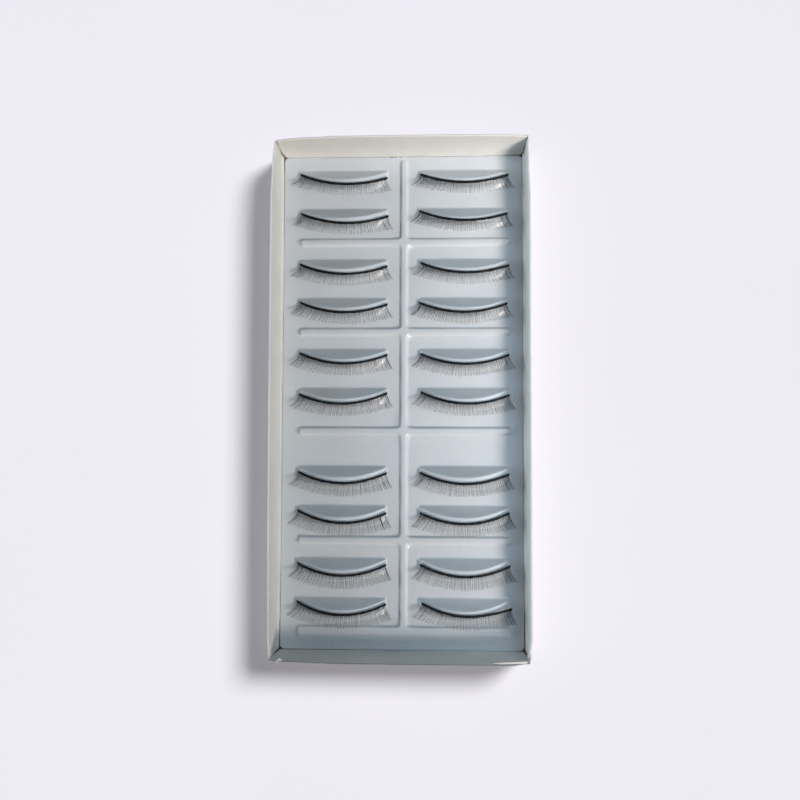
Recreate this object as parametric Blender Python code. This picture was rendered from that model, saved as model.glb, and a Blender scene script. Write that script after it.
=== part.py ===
# An open presentation box of false eyelash strips: a folded paperboard box, a thermoformed
# insert with two columns of arched seats, and one strip on each seat, ten pairs in all.
# Metres, +Z up. The origin is under the middle of the box, on the surface it stands on.
# +X is the box's right side and +Y its head, as the open box is read from above.

import math

import bmesh
import bpy
from mathutils import Vector

MM = 0.001

# Clearances
TOUCH_GAP = 0.3 * MM
INSERT_FIT = 0.4 * MM

# Paperboard box. Its walls are folded over at the rim and lean out a little, each its own way.
BOX_HEIGHT = 15.5 * MM
WALL_THICKNESS = 1.4 * MM
RIM_THICKNESS = 1.0 * MM
BASE_THICKNESS = 0.8 * MM
LEFT_WALL_LEAN = 1.0 * MM
RIGHT_WALL_LEAN = 0.2 * MM
HEAD_WALL_LEAN = 2.0 * MM
FOOT_WALL_LEAN = 0.4 * MM
BOX_CORNER_RADIUS = 0.5 * MM

# Lash strips. span: the band's width in plan; set: from the seat's ridge to the band's middle.
BAND_SPAN = 29.9 * MM
BAND_WIDTH = 0.8 * MM
BAND_THICKNESS = 0.5 * MM
BAND_SET = 1.4 * MM
BAND_END_SET = 0.9 * MM
HAIR_REACH = 3.6 * MM
HAIR_END_REACH = 4.6 * MM
HAIR_RISE = 1.5 * MM
HAIR_END_FAN = math.radians(38)
LOCK_THICKNESS = 0.4 * MM
LOCKS = 12
PEEL_LIFT = 1.3 * MM
PEEL_DROP = 1.0 * MM

# Seats: low arches whose head end is cut off by a slanting plane, the crescent
SEAT_END_MARGIN = 0.5 * MM
SEAT_END_TAPER = 1.5 * MM
SEAT_DEPTH = 8.0 * MM
SEAT_BASE_SAG = 1.7 * MM
ARCH_HEIGHT = 4.05 * MM
ARCH_END_HEIGHT = 0.8 * MM
CRESCENT_RUN = 3.95 * MM
ARCH_TOP = 2.0 * MM
SEAT_STEPS = 12

# Thermoformed insert: a sheet on a turned-down skirt
SHEET = 0.5 * MM
SKIRT_HEIGHT = 3.2 * MM
INSERT_CORNER_RADIUS = 1.6 * MM
LEFT_MARGIN = 5.7 * MM
RIGHT_MARGIN = 4.7 * MM
HEAD_MARGIN = 5.1 * MM
FOOT_MARGIN = 17.6 * MM
COLUMN_GAP = 10.8 * MM
ROW_GAP = 5.5 * MM

# Ribs between the blocks of seats, and the spine between the two columns
RIB_WIDTH = 2.8 * MM
RIB_TOP_WIDTH = 1.6 * MM
RIB_HEIGHT = 1.2 * MM
RIB_OVERHANG = 0.3 * MM

COLUMNS = ("left", "right")
ROWS_PER_BLOCK = 2

# Blocks of seats, from the head of the box to its foot, as shares of the pitch of the rows.
# room: what is left free before the block; rib: its rib's middle below its last chord.
BLOCK_FIELDS = ("room", "rib")
BLOCKS = (
    (0.000, 0.874),
    (0.315, 0.874),
    (0.315, 1.096),
    (0.981, 0.874),
    (0.315, 0.800),
)

# How each strip was laid on its seat, row by row from the head.
# across, along: its shift to the right and to the foot, as shares of BAND_WIDTH.
# turn: in degrees, positive where the right end lies nearer the foot.
# peel: how far the right end has come off its seat, from 0 to 1.
LAY_FIELDS = ("across", "along", "turn", "peel")
LAY = {
    "left": (
        (-0.3, 0.1, 2.9, 0.0),
        (0.2, 0.3, 2.0, 0.0),
        (-0.1, 0.2, 1.6, 0.0),
        (0.0, -0.1, 1.5, 0.0),
        (0.1, -0.3, 1.3, 0.0),
        (0.2, 0.0, -0.7, 0.0),
        (0.0, 0.3, 0.8, 0.0),
        (-0.2, 0.1, 1.7, 0.0),
        (-0.1, 0.0, 1.0, 0.0),
        (-0.2, -0.5, 1.5, 0.0),
    ),
    "right": (
        (0.0, -0.2, 0.8, 0.0),
        (-0.5, -0.6, 2.0, 0.1),
        (0.2, -0.2, 1.4, 0.2),
        (-0.6, -0.1, 0.8, 0.0),
        (0.2, -0.1, 0.4, 0.1),
        (0.2, -0.1, 2.0, 0.0),
        (0.0, 0.4, 0.5, 0.2),
        (0.1, 0.3, -0.4, 0.1),
        (0.2, 0.2, 0.5, 0.1),
        (0.5, -0.3, 1.2, 1.0),
    ),
}

# A lock of the fringe, from its root in the band's face to its tip.
# reach, rise: shares of the hair's reach and rise; width, thick: shares of the root's.
LOCK_FIELDS = ("reach", "rise", "width", "thick")
LOCK_WAIST = (0.55, 0.12, 0.93, 0.80)
LOCK_TIP = (1.00, 1.00, 0.85, 0.00)

# Rounding of the folded rim. out: share of the rim's thickness from its inner face;
# down: share of the fold's height below the rim's top.
RIM_FIELDS = ("out", "down")
RIM_FOLD = ((1.0, 1.00), (0.8, 0.25), (0.5, 0.00), (0.2, 0.25), (0.0, 1.00))

COLOURS = {
    "paperboard": ((0.60, 0.58, 0.53, 1.0), 0.75),
    "moulded_plastic": ((0.62, 0.68, 0.73, 1.0), 0.28),
    "lash_fibre": ((0.012, 0.012, 0.014, 1.0), 0.45),
}

ROW_PITCH = SEAT_DEPTH + ROW_GAP
SEAT_WIDTH = BAND_SPAN + 2 * SEAT_END_MARGIN
SEAT_BASE_WIDTH = SEAT_WIDTH - 2 * SEAT_END_TAPER
PLANE_ANGLE = math.atan2(ARCH_HEIGHT, CRESCENT_RUN)
SLOPE_ANGLE = math.atan2(ARCH_HEIGHT, SEAT_DEPTH - CRESCENT_RUN - ARCH_TOP)


def chord_and_rib_places():
    """Distances from the first chord to each seat's chord and to each rib's middle."""
    chords = []
    ribs = []
    place = -ROW_PITCH
    for block in BLOCKS:
        fields = dict(zip(BLOCK_FIELDS, block))
        place += fields["room"] * ROW_PITCH
        for _ in range(ROWS_PER_BLOCK):
            place += ROW_PITCH
            chords.append(place)
        ribs.append(place + fields["rib"] * ROW_PITCH)
    return chords, ribs


CHORDS, RIBS = chord_and_rib_places()
INSERT_LENGTH = HEAD_MARGIN + CHORDS[-1] + FOOT_MARGIN
INSERT_WIDTH = LEFT_MARGIN + 2 * SEAT_WIDTH + COLUMN_GAP + RIGHT_MARGIN
INSERT_BOTTOM = BASE_THICKNESS + TOUCH_GAP
FLOOR = INSERT_BOTTOM + SKIRT_HEIGHT
INSERT_X = (LEFT_WALL_LEAN - RIGHT_WALL_LEAN) / 2
INSERT_Y = (FOOT_WALL_LEAN - HEAD_WALL_LEAN) / 2
FIRST_CHORD = INSERT_Y + INSERT_LENGTH / 2 - HEAD_MARGIN
COLUMN_X = {
    "left": INSERT_X - INSERT_WIDTH / 2 + LEFT_MARGIN + SEAT_WIDTH / 2,
    "right": INSERT_X + INSERT_WIDTH / 2 - RIGHT_MARGIN - SEAT_WIDTH / 2,
}
SPINE_X = (COLUMN_X["left"] + COLUMN_X["right"]) / 2


def clear_scene():
    for old in list(bpy.data.objects):
        bpy.data.objects.remove(old, do_unlink=True)


def material(name):
    colour, roughness = COLOURS[name]
    made = bpy.data.materials.get(name) or bpy.data.materials.new(name)
    made.use_nodes = True
    shader = made.node_tree.nodes["Principled BSDF"]
    shader.inputs["Base Color"].default_value = colour
    shader.inputs["Roughness"].default_value = roughness
    shader.inputs["Metallic"].default_value = 0.0
    return made


def make_object(name, builder, material_name):
    """A named object from a bmesh. One with no material is a guide for a Boolean."""
    bmesh.ops.recalc_face_normals(builder, faces=builder.faces[:])
    mesh = bpy.data.meshes.new(name)
    builder.to_mesh(mesh)
    builder.free()
    made = bpy.data.objects.new(name, mesh)
    bpy.context.scene.collection.objects.link(made)
    if material_name is None:
        made.hide_render = True
        made.display_type = "WIRE"
    else:
        mesh.materials.append(material(material_name))
    return made


def rounded_ring(builder, low, high, radius, z, steps=3):
    """A level ring of vertices along the rectangle from low to high, with round corners."""
    corners = (
        (high[0] - radius, high[1] - radius, 0),
        (low[0] + radius, high[1] - radius, 90),
        (low[0] + radius, low[1] + radius, 180),
        (high[0] - radius, low[1] + radius, 270),
    )
    ring = []
    for centre_x, centre_y, start in corners:
        for step in range(steps + 1):
            angle = math.radians(start + 90 * step / steps)
            x = centre_x + radius * math.cos(angle)
            y = centre_y + radius * math.sin(angle)
            ring.append(builder.verts.new((x, y, z)))
    return ring


def bridge(builder, first, second):
    count = len(first)
    for index in range(count):
        after = (index + 1) % count
        builder.faces.new((first[index], first[after], second[after], second[index]))


def loft(builder, rings):
    """Closes a stack of rings into one solid."""
    builder.faces.new(rings[0])
    for first, second in zip(rings, rings[1:]):
        bridge(builder, first, second)
    builder.faces.new(rings[-1])


def make_box():
    """The tray of the box: a base and four walls with a round folded rim."""
    foot_x = INSERT_WIDTH / 2 + INSERT_FIT
    foot_y = INSERT_LENGTH / 2 + INSERT_FIT
    fold = RIM_THICKNESS / 2
    taper = WALL_THICKNESS - RIM_THICKNESS
    builder = bmesh.new()

    def ring(out, z):
        share = z / (BOX_HEIGHT - fold)
        low = (
            INSERT_X - foot_x - out - LEFT_WALL_LEAN * share,
            INSERT_Y - foot_y - out - FOOT_WALL_LEAN * share,
        )
        high = (
            INSERT_X + foot_x + out + RIGHT_WALL_LEAN * share,
            INSERT_Y + foot_y + out + HEAD_WALL_LEAN * share,
        )
        return rounded_ring(builder, low, high, BOX_CORNER_RADIUS + out / 2, z)

    rings = [ring(WALL_THICKNESS, 0.0)]
    for section in RIM_FOLD:
        fields = dict(zip(RIM_FIELDS, section))
        out = taper + fields["out"] * RIM_THICKNESS
        rings.append(ring(out, BOX_HEIGHT - fields["down"] * fold))
    rings.append(ring(0.0, BASE_THICKNESS))
    loft(builder, rings)
    return make_object("box", builder, "paperboard")


def arch_height(across):
    """Height of a seat's top above the floor, at a distance across from its middle."""
    share = min(1.0, abs(across) / (SEAT_WIDTH / 2))
    return ARCH_END_HEIGHT + (ARCH_HEIGHT - ARCH_END_HEIGHT) * (1.0 - share * share)


def ridge_place(across):
    """Distance of the ridge from the chord, on the slanting plane that cuts the arch."""
    return arch_height(across) * CRESCENT_RUN / ARCH_HEIGHT


def sink(wall):
    """Height at which a raised form, or its hollow, ends inside the floor or below it."""
    if wall == 0.0:
        return FLOOR - SHEET / 2
    return FLOOR - wall * 3 / 2


def add_seat(builder, centre_x, chord_y, wall):
    """One seat as a closed solid. wall is 0 for its outside and SHEET for its hollow,
    whose faces lie that far inside the outer ones."""
    plane_inset = wall / math.sin(PLANE_ANGLE)
    ridge_inset = wall * math.tan(PLANE_ANGLE / 2)
    shoulder_inset = wall * math.tan(SLOPE_ANGLE / 2)
    base_inset = wall / math.sin(SLOPE_ANGLE)
    half_top = SEAT_WIDTH / 2 - wall
    half_base = SEAT_BASE_WIDTH / 2 - wall

    def vertex(across, along, z):
        return builder.verts.new((centre_x + across, chord_y - along, z))

    ridges = []
    shoulders = []
    base = []
    for step in range(SEAT_STEPS + 1):
        share = -1.0 + 2.0 * step / SEAT_STEPS
        height = arch_height(share * SEAT_WIDTH / 2)
        ridge = ridge_place(share * SEAT_WIDTH / 2)
        foot = SEAT_DEPTH - SEAT_BASE_SAG * share * share
        top = FLOOR + height - wall
        ridges.append(vertex(share * half_top, ridge + ridge_inset, top))
        shoulders.append(vertex(share * half_top, ridge + ARCH_TOP - shoulder_inset, top))
        base.append(vertex(share * half_base, foot - base_inset, FLOOR))
    chord = [vertex(side * half_top, plane_inset, FLOOR) for side in (-1, 1)]
    builder.faces.new([chord[0]] + ridges + [chord[1]])
    for step in range(SEAT_STEPS):
        after = step + 1
        builder.faces.new((ridges[step], ridges[after], shoulders[after], shoulders[step]))
        builder.faces.new((shoulders[step], shoulders[after], base[after], base[step]))
    for end, last in ((0, 0), (1, -1)):
        builder.faces.new((chord[end], ridges[last], shoulders[last], base[last]))
    outline = [chord[0]] + base + [chord[1]]
    sole = [builder.verts.new((v.co.x, v.co.y, sink(wall))) for v in outline]
    bridge(builder, outline, sole)
    builder.faces.new(sole)


def add_bar(builder, low, high, wall):
    """One raised rib with leaning sides, between two corners in plan."""
    centre = ((low[0] + high[0]) / 2, (low[1] + high[1]) / 2)
    half = ((high[0] - low[0]) / 2 - wall, (high[1] - low[1]) / 2 - wall)
    slope = (RIB_WIDTH - RIB_TOP_WIDTH) / 2
    rings = []
    for shrink, z in ((0.0, sink(wall)), (0.0, FLOOR), (slope, FLOOR + RIB_HEIGHT - wall)):
        ring = []
        for sign_x, sign_y in ((1, 1), (-1, 1), (-1, -1), (1, -1)):
            x = centre[0] + sign_x * (half[0] - shrink)
            y = centre[1] + sign_y * (half[1] - shrink)
            ring.append(builder.verts.new((x, y, z)))
        rings.append(ring)
    loft(builder, rings)


def make_relief(name, wall):
    """Guides for the seats, the ribs and the spine: their outsides or their hollows."""
    seats = bmesh.new()
    for column in COLUMNS:
        for chord in CHORDS:
            add_seat(seats, COLUMN_X[column], FIRST_CHORD - chord, wall)
    bmesh.ops.triangulate(seats, faces=seats.faces[:])
    ribs = bmesh.new()
    left = COLUMN_X["left"] - SEAT_WIDTH / 2 - RIB_OVERHANG
    right = COLUMN_X["right"] + SEAT_WIDTH / 2 + RIB_OVERHANG
    half = RIB_WIDTH / 2
    for rib in RIBS:
        y = FIRST_CHORD - rib
        add_bar(ribs, (left, y - half), (right, y + half), wall)
    spine = bmesh.new()
    head = INSERT_Y + INSERT_LENGTH / 2 - INSERT_CORNER_RADIUS
    add_bar(spine, (SPINE_X - half, FIRST_CHORD - RIBS[-1]), (SPINE_X + half, head), wall)
    return (
        make_object(name + "_seats", seats, None),
        make_object(name + "_ribs", ribs, None),
        make_object(name + "_spine", spine, None),
    )


def join_or_cut(target, guide, operation):
    modifier = target.modifiers.new(guide.name, "BOOLEAN")
    modifier.operation = operation
    modifier.solver = "EXACT"
    modifier.object = guide


def make_insert():
    """The formed sheet: a floor on a skirt, with hollow seats and ribs raised from it."""
    edge = SHEET / 2

    def ring(builder, inset, z):
        half_x = INSERT_WIDTH / 2 - inset
        half_y = INSERT_LENGTH / 2 - inset
        low = (INSERT_X - half_x, INSERT_Y - half_y)
        high = (INSERT_X + half_x, INSERT_Y + half_y)
        return rounded_ring(builder, low, high, INSERT_CORNER_RADIUS - inset, z)

    outside = bmesh.new()
    loft(outside, [
        ring(outside, 0.0, INSERT_BOTTOM),
        ring(outside, 0.0, FLOOR - edge),
        ring(outside, edge, FLOOR),
    ])
    insert = make_object("insert_tray", outside, "moulded_plastic")
    inside = bmesh.new()
    loft(inside, [ring(inside, SHEET, 0.0), ring(inside, SHEET, FLOOR - SHEET)])
    underside = make_object("underside", inside, None)
    for guide in make_relief("raised", 0.0):
        join_or_cut(insert, guide, "UNION")
    join_or_cut(insert, underside, "DIFFERENCE")
    for guide in make_relief("hollow", SHEET):
        join_or_cut(insert, guide, "DIFFERENCE")
    return insert


def make_strip(column, row):
    """One strip: the band on its seat, with the fringe in locks fused to it."""
    lay = dict(zip(LAY_FIELDS, LAY[column][row]))
    builder = bmesh.new()
    pivot = ridge_place(0.0) + BAND_SET
    chord_y = FIRST_CHORD - CHORDS[row]
    turn = math.radians(lay["turn"])

    def place(across, along, up):
        """A vertex of the strip, turned about the band's middle and shifted."""
        offset = along - pivot
        x = across * math.cos(turn) - offset * math.sin(turn) + lay["across"] * BAND_WIDTH
        y = across * math.sin(turn) + offset * math.cos(turn) + lay["along"] * BAND_WIDTH
        return builder.verts.new(Vector((COLUMN_X[column] + x, chord_y - pivot - y, FLOOR + up)))

    def band(share):
        """The middle of the band's underside, at a share from -1 to 1 of its half span."""
        across = share * BAND_SPAN / 2
        peeled = lay["peel"] * max(0.0, share) ** 3
        along = ridge_place(across) + BAND_SET + (BAND_END_SET - BAND_SET) * share * share
        rest = arch_height(across + lay["across"] * BAND_WIDTH) + TOUCH_GAP
        return across, along + peeled * PEEL_DROP, rest + peeled * PEEL_LIFT

    sections = []
    for step in range(LOCKS + 1):
        across, along, low = band(-1.0 + 2.0 * step / LOCKS)
        near = along - BAND_WIDTH / 2
        far = along + BAND_WIDTH / 2
        sections.append((
            place(across, near, low),
            place(across, near, low + BAND_THICKNESS),
            place(across, far, low + LOCK_THICKNESS),
            place(across, far, low),
        ))
    for first, second in zip(sections, sections[1:]):
        for side, other in ((0, 1), (1, 2), (3, 0)):
            builder.faces.new((first[side], first[other], second[other], second[side]))
    builder.faces.new(sections[0])
    builder.faces.new(sections[-1])
    for step in range(LOCKS):
        share = -1.0 + 2.0 * (step + 0.5) / LOCKS
        root = (sections[step], sections[step + 1])
        add_lock(builder, root, share, band(share), place)
    return make_object(f"lash_{column}_{row + 1:02d}", builder, "lash_fibre")


def add_lock(builder, root, share, middle, place):
    """One flat tapered lock, drawn out from the band's face between two sections."""
    across, along, low = middle
    fan = HAIR_END_FAN * share
    reach = HAIR_REACH + (HAIR_END_REACH - HAIR_REACH) * share * share
    half_root = BAND_SPAN / LOCKS / 2

    def pair(section, up):
        """The lock's two edges at a section, to the left and to the right."""
        fields = dict(zip(LOCK_FIELDS, section))
        x = across + math.sin(fan) * reach * fields["reach"]
        y = along + BAND_WIDTH / 2 + math.cos(fan) * reach * fields["reach"]
        z = low + HAIR_RISE * fields["rise"] + LOCK_THICKNESS * fields["thick"] * up
        side_x = half_root * fields["width"] * math.cos(fan)
        side_y = half_root * fields["width"] * math.sin(fan)
        return place(x - side_x, y + side_y, z), place(x + side_x, y - side_y, z)

    low_left, low_right = pair(LOCK_WAIST, 0)
    high_left, high_right = pair(LOCK_WAIST, 1)
    tip_left, tip_right = pair(LOCK_TIP, 0)
    first, second = root
    base = (first[3], first[2], second[2], second[3])
    waist = (low_left, high_left, high_right, low_right)
    bridge(builder, base, waist)
    builder.faces.new((low_left, high_left, tip_left))
    builder.faces.new((high_left, high_right, tip_right, tip_left))
    builder.faces.new((high_right, low_right, tip_right))
    builder.faces.new((low_right, low_left, tip_left, tip_right))


def main():
    clear_scene()
    make_box()
    make_insert()
    for column in COLUMNS:
        for row in range(len(CHORDS)):
            make_strip(column, row)


main()
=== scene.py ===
# The look of an open box of false eyelash strips: its paperboard tray, the formed insert,
# and twenty strips of black thread with fine curled hair. Lengths in millimetres become
# metres through MM. +X is the box's right side, +Y its head, +Z up out of the box.

import math
import random

import bpy
import numpy as np
from mathutils import Euler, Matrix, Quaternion, Vector


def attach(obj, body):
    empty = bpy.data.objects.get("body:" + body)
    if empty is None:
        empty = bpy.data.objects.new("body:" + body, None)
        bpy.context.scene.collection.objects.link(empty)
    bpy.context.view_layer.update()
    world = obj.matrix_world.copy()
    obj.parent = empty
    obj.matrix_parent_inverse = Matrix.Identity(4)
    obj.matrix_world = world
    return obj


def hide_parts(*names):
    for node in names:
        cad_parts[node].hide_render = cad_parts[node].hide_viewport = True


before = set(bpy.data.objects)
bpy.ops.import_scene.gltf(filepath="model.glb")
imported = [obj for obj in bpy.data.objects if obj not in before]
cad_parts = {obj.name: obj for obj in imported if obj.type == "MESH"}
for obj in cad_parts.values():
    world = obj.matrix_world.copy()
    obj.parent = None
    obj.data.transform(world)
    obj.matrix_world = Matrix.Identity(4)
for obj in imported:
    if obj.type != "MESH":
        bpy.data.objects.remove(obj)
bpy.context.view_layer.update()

MM = 0.001

# Camera, placed against the insert's middle at the level of its floor
CAMERA_PLACE = (13.5, -19.2, 325.0)
CAMERA_TURN = (3.36, 2.49, 0.18)
CAMERA_LENS = 42.62

# Light on the object: a low cool sun from the left, angle its apparent size in degrees
SUN_FIELDS = ("name", "direction", "angle", "strength")
SUNS = (
    ("left", (-1.0, 0.0, 0.07), 40.0, (2.50, 2.85, 3.40)),
)
# Lamps over the box. place, target, width and length in metres; roll: turn about the beam
# and spread: how wide it opens, in degrees; strength: red, green and blue, in watts. The
# key's beam has its edge over the box, so that its light fades to the left and the foot.
# head_gloss shows in the gloss alone.
LAMP_FIELDS = ("name", "place", "target", "width", "length", "roll", "spread", "strength")
LAMPS = (
    ("key", (0.818, -0.470, 0.501), (0.322, 0.073, -0.177), 0.80, 0.80, -40.0, 29.0, (2.80, 2.53, 2.37)),
    ("right_lamp", (0.16, 0.02, 0.20), (0.0, 0.02, 0.0), 0.14, 0.14, 0.0, 180.0, (0.130, 0.163, 0.186)),
    ("strip_lamp", (0.155, 0.01, 0.60), (0.0, 0.01, 0.0), 0.13, 0.50, 0.0, 180.0, (0.29, 0.335, 0.37)),
    ("head_gloss", (0.07, 0.30, 0.45), (0.0, 0.0, 0.0), 0.30, 0.12, 0.0, 180.0, (0.20, 0.22, 0.23)),
)
WORLD_COLOUR = (0.006, 0.016, 0.030)

# Light on the pale floor alone, and half the floor's width in metres
FLOOR_SUN = ((0.82, 0.645, 1.0), 22.0, (8.97, 8.72, 9.48))
FLOOR_FILL = (2.70, 2.60, 2.84)
FLOOR_REACH = 20.0

# Sizes, the solids' own except for the sheet's thickness and the ribs' height
BOX_HEIGHT = 15.5
WALL_THICKNESS = 1.4
BASE_THICKNESS = 0.8
INSERT_FIT = 0.4
BAND_SPAN = 29.9
BAND_WIDTH = 0.8
BAND_THICKNESS = 0.5
BAND_SET = 1.4
BAND_END_SET = 0.9
HAIR_REACH = 3.6
HAIR_RISE = 1.5
PEEL_LIFT = 1.3
PEEL_DROP = 1.0
SEAT_WIDTH = 30.9
SEAT_BASE_WIDTH = 27.9
SEAT_DEPTH = 8.0
SEAT_BASE_SAG = 1.7
ARCH_HEIGHT = 4.05
ARCH_END_HEIGHT = 0.8
CRESCENT_RUN = 3.95
ARCH_TOP = 2.0
SHEET = 0.45
INSERT_X = 0.4
INSERT_Y = -0.8
INSERT_WIDTH = 83.0
INSERT_LENGTH = 170.2
INSERT_BOTTOM = 1.1
FLOOR = 4.3
INSERT_CORNER_RADIUS = 1.6
RIB_WIDTH = 2.8
RIB_HEIGHT = 0.95
RIB_OVERHANG = 0.3
SPINE_X = INSERT_X + 0.6
COLUMN_X = {"left": INSERT_X - 20.35, "right": INSERT_X + 21.35}
CHORDS = [INSERT_Y + y for y in (80.0, 66.5, 48.75, 35.25, 17.5, 4.0, -22.75, -36.25, -54.0, -67.5)]
RIBS = [INSERT_Y + y for y in (54.7, 23.45, -10.8, -48.05, -78.3)]

# How each strip lies: shift to the right and to the foot in shares of the band's width,
# turn in degrees, and how far its right end has come off the seat
LAY = {
    "left": (
        (-0.3, 0.1, 2.9, 0.0),
        (0.2, 0.3, 2.0, 0.0),
        (-0.1, 0.2, 1.6, 0.0),
        (0.0, -0.1, 1.5, 0.0),
        (0.1, -0.3, 1.3, 0.0),
        (0.2, 0.0, -0.7, 0.0),
        (0.0, 0.3, 0.8, 0.0),
        (-0.2, 0.1, 1.7, 0.0),
        (-0.1, 0.0, 1.0, 0.0),
        (-0.2, -0.5, 1.5, 0.0),
    ),
    "right": (
        (0.0, -0.2, 0.8, 0.0),
        (-0.5, -0.6, 2.0, 0.1),
        (0.2, -0.2, 1.4, 0.2),
        (-0.6, -0.1, 0.8, 0.0),
        (0.2, -0.1, 0.4, 0.1),
        (0.2, -0.1, 2.0, 0.0),
        (0.0, 0.4, 0.5, 0.2),
        (0.1, 0.3, -0.4, 0.1),
        (0.2, 0.2, 0.5, 0.1),
        (0.8, -0.3, 1.2, 1.0),
    ),
}


# Materials

def new_material(name):
    made = bpy.data.materials.new(name)
    made.use_nodes = True
    tree = made.node_tree
    return made, tree, tree.nodes["Principled BSDF"]


def add_node(tree, kind, **settings):
    made = tree.nodes.new(kind)
    for key, value in settings.items():
        if key.startswith("in_"):
            made.inputs[key[3:].replace("_", " ")].default_value = value
        else:
            setattr(made, key, value)
    return made


def noise(tree, where, scale, detail=3.0, roughness=0.55, stretch=(1.0, 1.0, 1.0)):
    mapping = add_node(tree, "ShaderNodeMapping")
    mapping.inputs["Scale"].default_value = stretch
    tree.links.new(where, mapping.inputs["Vector"])
    made = add_node(tree, "ShaderNodeTexNoise", in_Scale=scale, in_Detail=detail, in_Roughness=roughness)
    tree.links.new(mapping.outputs["Vector"], made.inputs["Vector"])
    return made.outputs["Fac"]


def ramp(tree, factor, stops):
    """A colour ramp. stops are (place, colour) pairs."""
    made = add_node(tree, "ShaderNodeValToRGB")
    elements = made.color_ramp.elements
    while len(elements) < len(stops):
        elements.new(0.5)
    for element, (place, colour) in zip(elements, stops):
        element.position = place
        element.color = (*colour, 1.0)
    tree.links.new(factor, made.inputs["Fac"])
    return made.outputs["Color"]


def grey_ramp(tree, factor, stops):
    return ramp(tree, factor, [(place, (value, value, value)) for place, value in stops])


def mix(tree, factor, first, second, blend="MIX"):
    made = add_node(tree, "ShaderNodeMix", data_type="RGBA", blend_type=blend)
    if isinstance(factor, float):
        made.inputs["Factor"].default_value = factor
    else:
        tree.links.new(factor, made.inputs["Factor"])
    for socket, value in ((made.inputs[6], first), (made.inputs[7], second)):
        if isinstance(value, tuple):
            socket.default_value = (*value, 1.0)
        else:
            tree.links.new(value, socket)
    return made.outputs[2]


def bump(tree, height, strength, distance, normal=None):
    made = add_node(tree, "ShaderNodeBump", in_Strength=strength, in_Distance=distance)
    tree.links.new(height, made.inputs["Height"])
    if normal is not None:
        tree.links.new(normal, made.inputs["Normal"])
    return made.outputs["Normal"]


def share_along(tree, where, axis, low, high):
    """0 before the place low on an axis and 1 past high, in metres."""
    parts = add_node(tree, "ShaderNodeSeparateXYZ")
    tree.links.new(where, parts.inputs["Vector"])
    made = add_node(tree, "ShaderNodeMapRange")
    made.inputs["From Min"].default_value = low
    made.inputs["From Max"].default_value = high
    tree.links.new(parts.outputs[axis], made.inputs["Value"])
    return made.outputs["Result"]


def paperboard(name, foot_rim_painted_shade):
    """Cream paperboard: soft fibre, faint mottling, paler where it is folded, except at the
    foot, whose rim is painted with the colour given as painted shade. The right wall, from
    its foot to just above the insert's floor, is painted pale cream as painted light on its toe."""
    made, tree, shader = new_material(name)
    where = add_node(tree, "ShaderNodeTexCoord").outputs["Object"]
    mottle = noise(tree, where, 140.0, 4.0, 0.6)
    fibre = noise(tree, where, 2600.0, 4.0, 0.7, (1.0, 0.45, 1.0))
    cream = ramp(tree, mottle, ((0.3, (0.655, 0.65, 0.61)), (0.7, (0.725, 0.72, 0.675))))
    flecked = mix(tree, grey_ramp(tree, fibre, ((0.3, 0.0), (0.75, 0.25))), cream, (0.50, 0.46, 0.40))
    high = share_along(tree, where, "Z", 14.75 * MM, 15.3 * MM)
    # Painted shade: the foot wall's rim takes the dark colour given, except by the left corner.
    off_painted_foot_shade = add_node(tree, "ShaderNodeMath", operation="MAXIMUM")
    tree.links.new(share_along(tree, where, "Y", -86.0 * MM, -84.0 * MM), off_painted_foot_shade.inputs[0])
    tree.links.new(share_along(tree, where, "X", -41.4 * MM, -42.2 * MM), off_painted_foot_shade.inputs[1])
    rim = mix(tree, off_painted_foot_shade.outputs["Value"], foot_rim_painted_shade, (0.76, 0.75, 0.70))
    pale_rim_and_painted_foot_shade = mix(tree, high, flecked, rim)
    # Painted light: the right wall, up to just above the insert's floor, is painted pale cream so that its
    # toe looks lit.
    toe = add_node(tree, "ShaderNodeMath", operation="MULTIPLY")
    tree.links.new(share_along(tree, where, "X", 41.6 * MM, 41.9 * MM), toe.inputs[0])
    tree.links.new(share_along(tree, where, "Z", (FLOOR + 1.7) * MM, (FLOOR + 0.9) * MM), toe.inputs[1])
    toe_painted_light = mix(tree, toe.outputs["Value"], pale_rim_and_painted_foot_shade, (0.92, 0.90, 0.80))
    tree.links.new(toe_painted_light, shader.inputs["Base Color"])
    rough = grey_ramp(tree, mottle, ((0.3, 0.62), (0.7, 0.78)))
    tree.links.new(rough, shader.inputs["Roughness"])
    dents = bump(tree, mottle, 0.25, 0.25 * MM)
    tree.links.new(bump(tree, fibre, 0.35, 0.05 * MM, dents), shader.inputs["Normal"])
    shader.inputs["Specular IOR Level"].default_value = 0.35
    return made


def kraft():
    """The board's bare brown side, seen where it is torn and on the base."""
    made, tree, shader = new_material("kraft")
    where = add_node(tree, "ShaderNodeTexCoord").outputs["Object"]
    mottle = noise(tree, where, 420.0, 5.0, 0.65)
    fibre = noise(tree, where, 3000.0, 4.0, 0.7, (0.4, 1.0, 1.0))
    brown = ramp(tree, mottle, ((0.25, (0.22, 0.155, 0.10)), (0.75, (0.38, 0.29, 0.20))))
    tree.links.new(brown, shader.inputs["Base Color"])
    shader.inputs["Roughness"].default_value = 0.85
    tree.links.new(bump(tree, fibre, 0.4, 0.06 * MM), shader.inputs["Normal"])
    return made


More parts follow.
